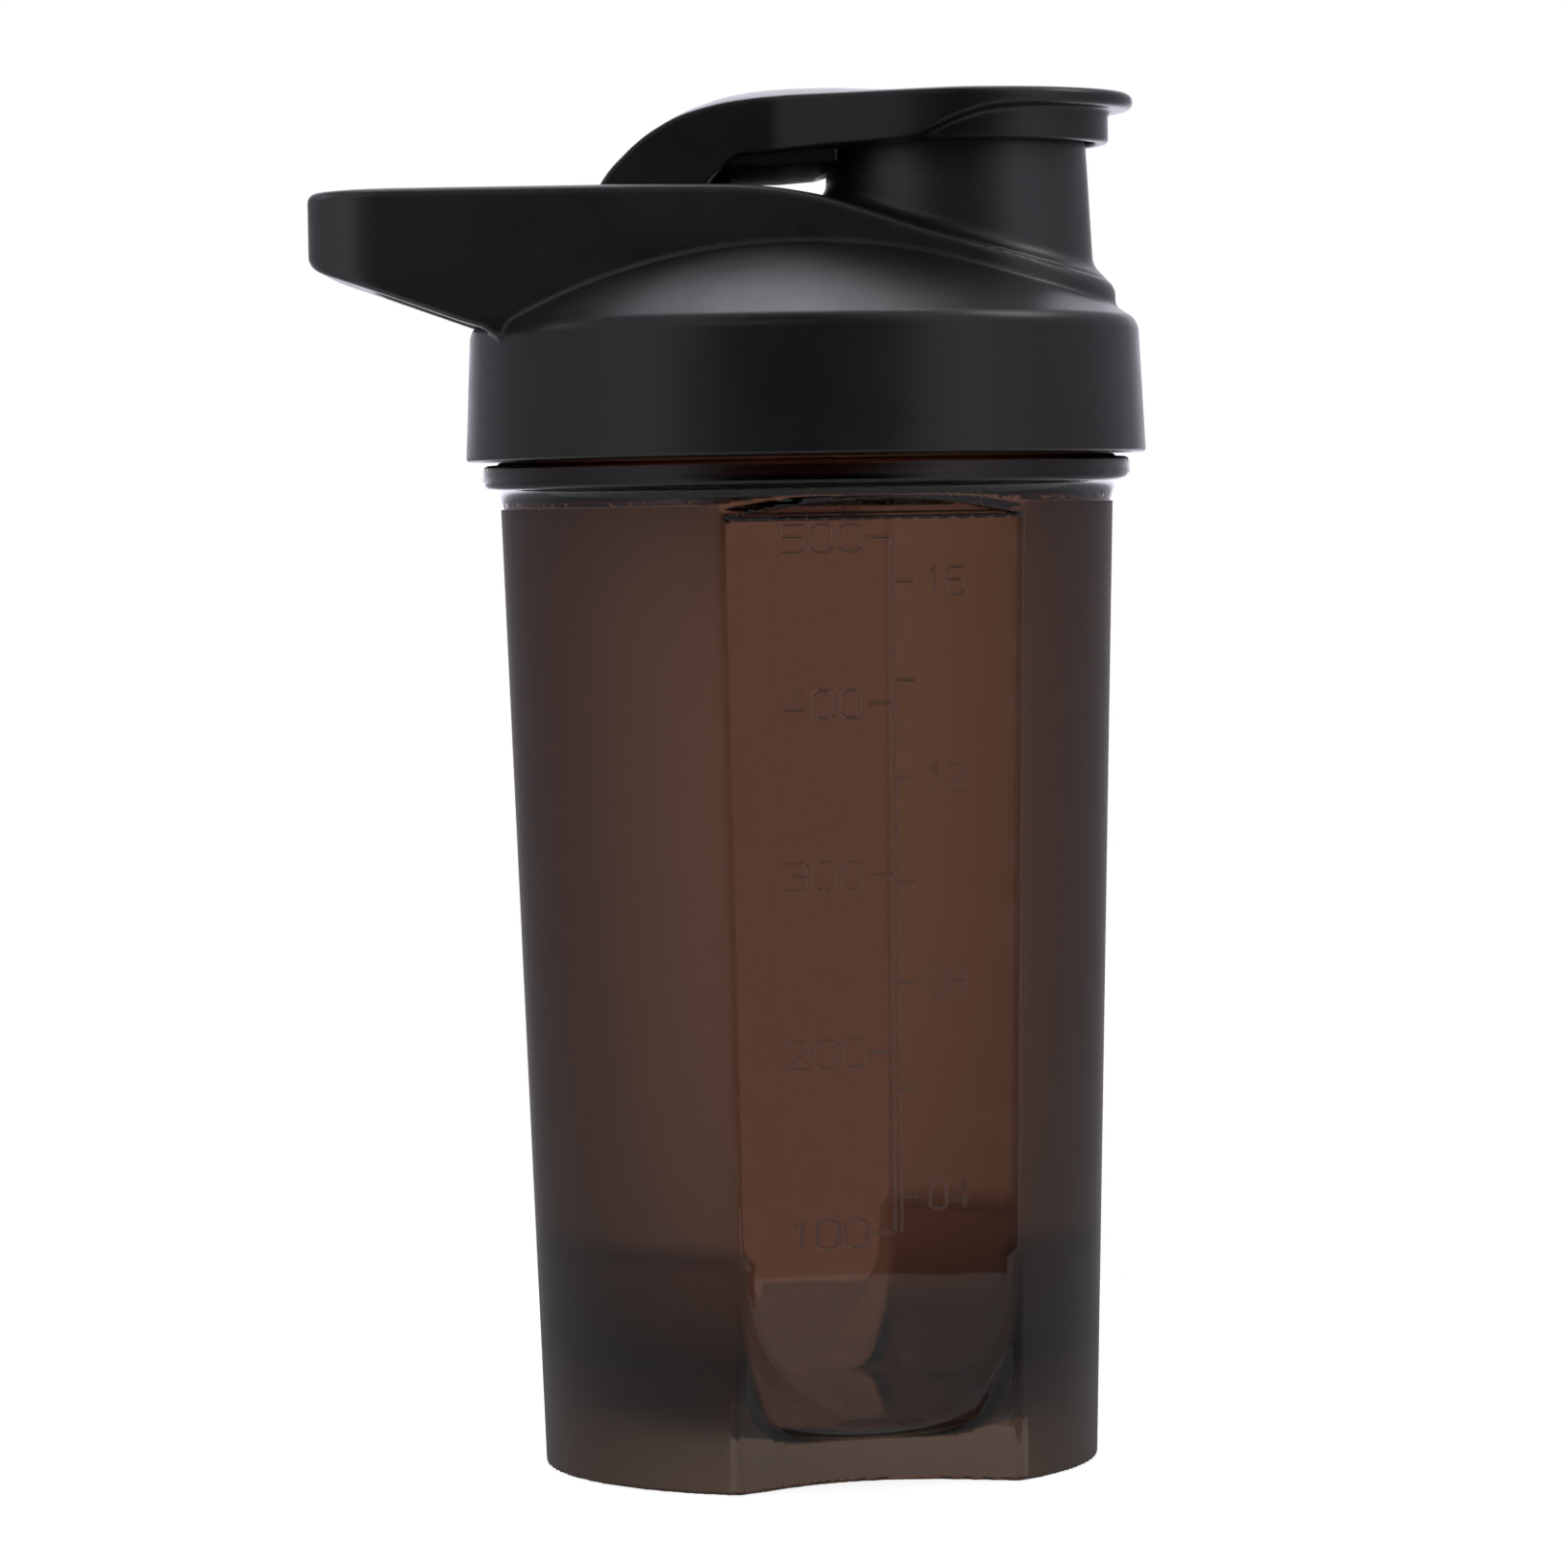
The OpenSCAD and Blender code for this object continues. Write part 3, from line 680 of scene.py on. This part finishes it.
# ---------------------------------------------------------------- the raised scale
DIGITS = {
    "0": [[(0.25, 0), (0.75, 0), (1, 0.15), (1, 0.85), (0.75, 1), (0.25, 1), (0, 0.85), (0, 0.15),
           (0.25, 0)]],
    "1": [[(0.3, 0.8), (0.6, 1), (0.6, 0)]],
    "2": [[(0, 0.85), (0.2, 1), (0.8, 1), (1, 0.85), (1, 0.62), (0, 0.12), (0, 0), (1, 0)]],
    "3": [[(0, 1), (0.8, 1), (1, 0.85), (1, 0.65), (0.8, 0.52), (0.35, 0.52)],
          [(0.8, 0.52), (1, 0.4), (1, 0.15), (0.8, 0), (0, 0)]],
    "4": [[(0.75, 0), (0.75, 1), (0, 0.3), (1, 0.3)]],
    "5": [[(1, 1), (0, 1), (0, 0.55), (0.8, 0.55), (1, 0.42), (1, 0.15), (0.8, 0), (0, 0)]],
    "6": [[(0.9, 1), (0.2, 1), (0, 0.85), (0, 0.15), (0.2, 0), (0.8, 0), (1, 0.15), (1, 0.4),
           (0.8, 0.55), (0, 0.55)]],
    "8": [[(0.2, 0), (0.8, 0), (1, 0.15), (1, 0.4), (0.8, 0.52), (0.2, 0.52), (0, 0.4), (0, 0.15),
           (0.2, 0)],
          [(0.2, 0.52), (0, 0.65), (0, 0.85), (0.2, 1), (0.8, 1), (1, 0.85), (1, 0.65),
           (0.8, 0.52)]],
}
ML_HEIGHTS = {100: 33.9, 200: 57.6, 300: 80.9, 400: 103.4, 500: 125.1}
MARK_PROUD = 0.24
OZ_HEIGHTS = {4: 38.6, 6: 52.7, 8: 66.6, 10: 79.9, 12: 93.5, 14: 106.4, 16: 119.3}


def stroke(path, width, proud, points, faces):
    """A raised line along a path of (across, height) on the window, with bevelled sides."""
    path = np.array(path, float)
    ahead = np.diff(path, axis=0)
    ahead /= np.linalg.norm(ahead, axis=1, keepdims=True)
    ring = np.allclose(path[0], path[-1])
    before = np.vstack([ahead[-1:] if ring else ahead[:1], ahead])
    after = np.vstack([ahead, ahead[:1] if ring else ahead[-1:]])
    mid = before + after
    mid /= np.linalg.norm(mid, axis=1, keepdims=True)
    side = np.stack([-mid[:, 1], mid[:, 0]], 1)
    side /= np.maximum((side * np.stack([-after[:, 1], after[:, 0]], 1)).sum(1), 0.5)[:, None]
    sunk, bevel = 0.06, 0.12
    section = [(-0.5, -sunk), (-0.5, proud - bevel), (-0.5 + bevel / width, proud),
               (0.5 - bevel / width, proud), (0.5, proud - bevel), (0.5, -sunk)]
    n, first = len(section), len(points)
    c, s = math.cos(WINDOW_TURN), math.sin(WINDOW_TURN)
    for at, out in zip(path, side):
        for w, h in section:
            q, z = at + out * w * width
            p = WINDOW_SHARE * cone_r(z) + h
            points.append((q * c + p * s, q * s - p * c, z))
    m = len(path)
    for i in range(m - 1):
        for k in range(n):
            a, b = first + i * n + k, first + i * n + (k + 1) % n
            faces.append((a, b, b + n, a + n))
    if not ring:
        faces.append(tuple(first + k for k in range(n))[::-1])
        faces.append(tuple(first + (m - 1) * n + k for k in range(n)))


def number(text, right, z, wide, gap, points, faces):
    """Digits that end at right, centred on the height z."""
    tall = 3.6
    left = right - len(text) * wide - (len(text) - 1) * gap
    for i, digit in enumerate(text):
        for path in DIGITS[digit]:
            stroke([(left + i * (wide + gap) + u * wide, z + (v - 0.5) * tall) for u, v in path],
                   0.42, MARK_PROUD, points, faces)


def graduations():
    """Both scales: a stem each, with a tick at each value and millilitres left of ounces."""
    points, faces = [], []
    low, high = ML_HEIGHTS[100], ML_HEIGHTS[500]
    ml_stem, oz_stem = 2.0, 2.9
    for q in (ml_stem, oz_stem):
        stroke([(q, low), (q, high)], 0.4, MARK_PROUD, points, faces)
    for value, z in ML_HEIGHTS.items():
        stroke([(-1.0, z), (ml_stem, z)], 0.45, MARK_PROUD, points, faces)
        number(str(value), -1.8, z, 2.9, 0.9, points, faces)
    for value, z in OZ_HEIGHTS.items():
        stroke([(oz_stem, z), (5.1, z)], 0.5, MARK_PROUD + 0.02, points, faces)
        if value % 4 == 0:
            number(f"{value:02d}", 12.0, z, 2.2, 0.8, points, faces)
    piece = face_out(add_mesh("scale_marks", points, faces, MARK, "cup"))
    piece.data.shade_flat()


graduations()


# ---------------------------------------------------------------- studio and camera
def softbox(name, place, towards, size, strength):
    """A rectangular lamp that the camera doesn't see, straight or through the cup."""
    light = bpy.data.lights.new(name, "AREA")
    light.shape, light.size, light.size_y = "RECTANGLE", *size
    light.energy = strength * math.pi * size[0] * size[1]
    lamp = bpy.data.objects.new(name, light)
    lamp.location = place
    lamp.rotation_euler = (Vector(towards) - Vector(place)).to_track_quat("-Z", "Y").to_euler()
    lamp.visible_camera = False
    lamp.visible_transmission = False
    bpy.context.scene.collection.objects.link(lamp)


def ramp_over(tree, value, stops):
    """A grey ramp, a little blue, over a value from 0 to 1."""
    ramp = tree.nodes.new("ShaderNodeValToRGB")
    tree.links.new(value, ramp.inputs[0])
    while len(ramp.color_ramp.elements) < len(stops):
        ramp.color_ramp.elements.new(0.5)
    for e, (at, v) in zip(ramp.color_ramp.elements, stops):
        e.position, e.color = at, (v, v * 0.99, v * 1.05, 1)
    return ramp.outputs[0]


def backdrop(world):
    """White behind the object and dim around the camera, which itself sees plain white."""
    tree = world.node_tree
    place = tree.nodes.new("ShaderNodeTexCoord").outputs["Generated"]
    for operation in ("MULTIPLY", "NORMALIZE"):
        level = tree.nodes.new("ShaderNodeVectorMath")
        level.operation = operation
        level.inputs[1].default_value = (1, 1, 0)
        tree.links.new(place, level.inputs[0])
        place = level.outputs[0]
    split = tree.nodes.new("ShaderNodeSeparateXYZ")
    tree.links.new(place, split.inputs[0])
    half = []
    for axis in (0, 1):
        node = tree.nodes.new("ShaderNodeMapRange")
        node.inputs["From Min"].default_value = -1
        tree.links.new(split.outputs[axis], node.inputs["Value"])
        half.append(node.outputs[0])
    rightwards, backwards = half
    around = ramp_over(tree, backwards, [(0.0, 0.0), (0.05, 0.03), (0.18, 0.42), (0.3, 0.32),
                                         (0.5, 0.19), (0.72, 0.17), (0.93, 0.24), (0.965, 0.5),
                                         (0.985, 1.5), (1.0, 1.9)])
    sides = ramp_over(tree, rightwards, [(0.0, 1.6), (0.35, 1.3), (0.5, 1.0), (0.8, 1.7)])
    through = ramp_over(tree, backwards, [(0.0, 0.3), (0.45, 0.5), (0.75, 1.1), (0.93, 1.5),
                                          (0.985, 1.4), (1.0, 1.03)])
    path = tree.nodes.new("ShaderNodeLightPath").outputs
    shown = mixed(tree, 1.0, around, sides, "MULTIPLY")
    shown = mixed(tree, path["Is Diffuse Ray"], shown, (0.7, 0.7, 0.7, 1))
    shown = mixed(tree, path["Is Transmission Ray"], shown, through)
    shown = mixed(tree, path["Is Camera Ray"], shown, (1, 1, 1, 1))
    tree.links.new(shown, tree.nodes["Background"].inputs["Color"])


def studio():
    """The backdrop, a pale floor under the bottle, the lamps and a plain view transform."""
    scene = bpy.context.scene
    scene.world = bpy.data.worlds.new("studio")
    scene.world.use_nodes = True
    backdrop(scene.world)

    steps, radius, drop = 96, 0.2, 0.0001
    disc = [(radius * math.cos(k * TAU / steps), radius * math.sin(k * TAU / steps), -drop)
            for k in range(steps)]
    floor_mesh = bpy.data.meshes.new("floor")
    floor_mesh.from_pydata(disc, [], [tuple(range(steps))])
    floor = bpy.data.objects.new("floor", floor_mesh)
    scene.collection.objects.link(floor)
    pale = Nodes("pale_floor", Roughness=0.9)
    pale.set("Base Color", (0.35, 0.35, 0.35, 1))
    pale.set("Emission Color", (1, 1, 1, 1))
    seen = pale.tree.nodes.new("ShaderNodeLightPath").outputs["Is Camera Ray"]
    pale.set("Emission Strength", pale.span(seen, 0, 1, 0.22, 0.86))
    floor_mesh.materials.append(pale.material)

    lid_height = 0.15
    softbox("front", (-0.35, -0.95, 0.85), (0, 0, lid_height + 0.01), (0.7, 0.35), 0.5)
    softbox("top", (0.05, 0.35, 1.3), (0, 0, lid_height), (0.8, 0.5), 1.2)
    softbox("left", (-1.3, 0.5, 0.9), (0, 0, lid_height), (0.4, 0.5), 1.5)
    softbox("right", (0.85, 0.25, 1.1), (0, 0, lid_height), (0.4, 0.4), 3.4)

    scene.view_settings.view_transform = "Standard"
    scene.view_settings.look = "None"


def camera():
    """A long lens from the front, a little above the middle of the bottle."""
    pitch, yaw, roll = (math.radians(a) for a in (2.371, -0.246, 0.931))
    ahead = Vector((math.sin(yaw) * math.cos(pitch), math.cos(yaw) * math.cos(pitch),
                    -math.sin(pitch)))
    right = ahead.cross(Vector((0, 0, 1))).normalized()
    up = right.cross(ahead)
    across = right * math.cos(roll) - up * math.sin(roll)
    upright = right * math.sin(roll) + up * math.cos(roll)
    view = Matrix((across, upright, -ahead)).transposed().to_4x4()
    view.translation = (0, -0.8640, 0.1274)
    data = bpy.data.cameras.new("camera")
    data.lens, data.sensor_width = 146.2, 36.0
    data.clip_start, data.clip_end = 0.01, 50
    eye = bpy.data.objects.new("camera", data)
    eye.matrix_world = view
    bpy.context.scene.collection.objects.link(eye)
    bpy.context.scene.camera = eye


studio()
camera()
